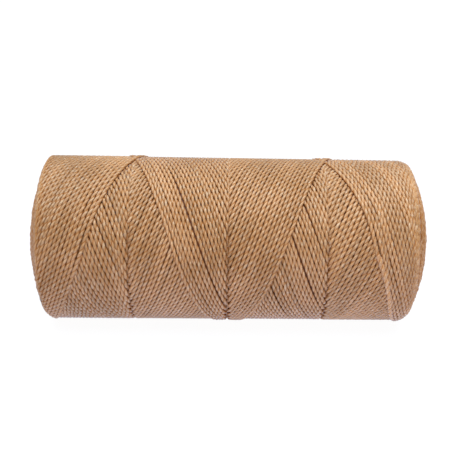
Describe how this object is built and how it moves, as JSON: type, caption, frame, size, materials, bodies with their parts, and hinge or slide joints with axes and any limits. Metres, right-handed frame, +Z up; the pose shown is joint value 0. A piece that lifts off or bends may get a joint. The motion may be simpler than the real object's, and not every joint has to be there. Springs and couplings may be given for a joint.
{
  "type": "waxed thread spool",
  "caption": "Cylindrical spool of waxed two-ply thread, cross wound on a plain paper tube, lying on its side with its cut end free.",
  "frame": {"origin": "on the surface the spool lies on, below the middle of its axis", "axes": "+X along the tube, +Z up, -Y towards the side that shows the thread's cut end"},
  "size_m": [0.1288, 0.0548, 0.0543],
  "materials": {
    "thread": "waxed polyester, soft sheen",
    "tube_paper": "uncoated spiral-wound paper"
  },
  "bodies": {
    "root": {"outer_turns": "thread", "winding_layers": "thread", "tube_outer_ply": "tube_paper", "tube_middle_ply": "tube_paper", "tube_inner_ply": "tube_paper"}
  },
  "joints": []
}
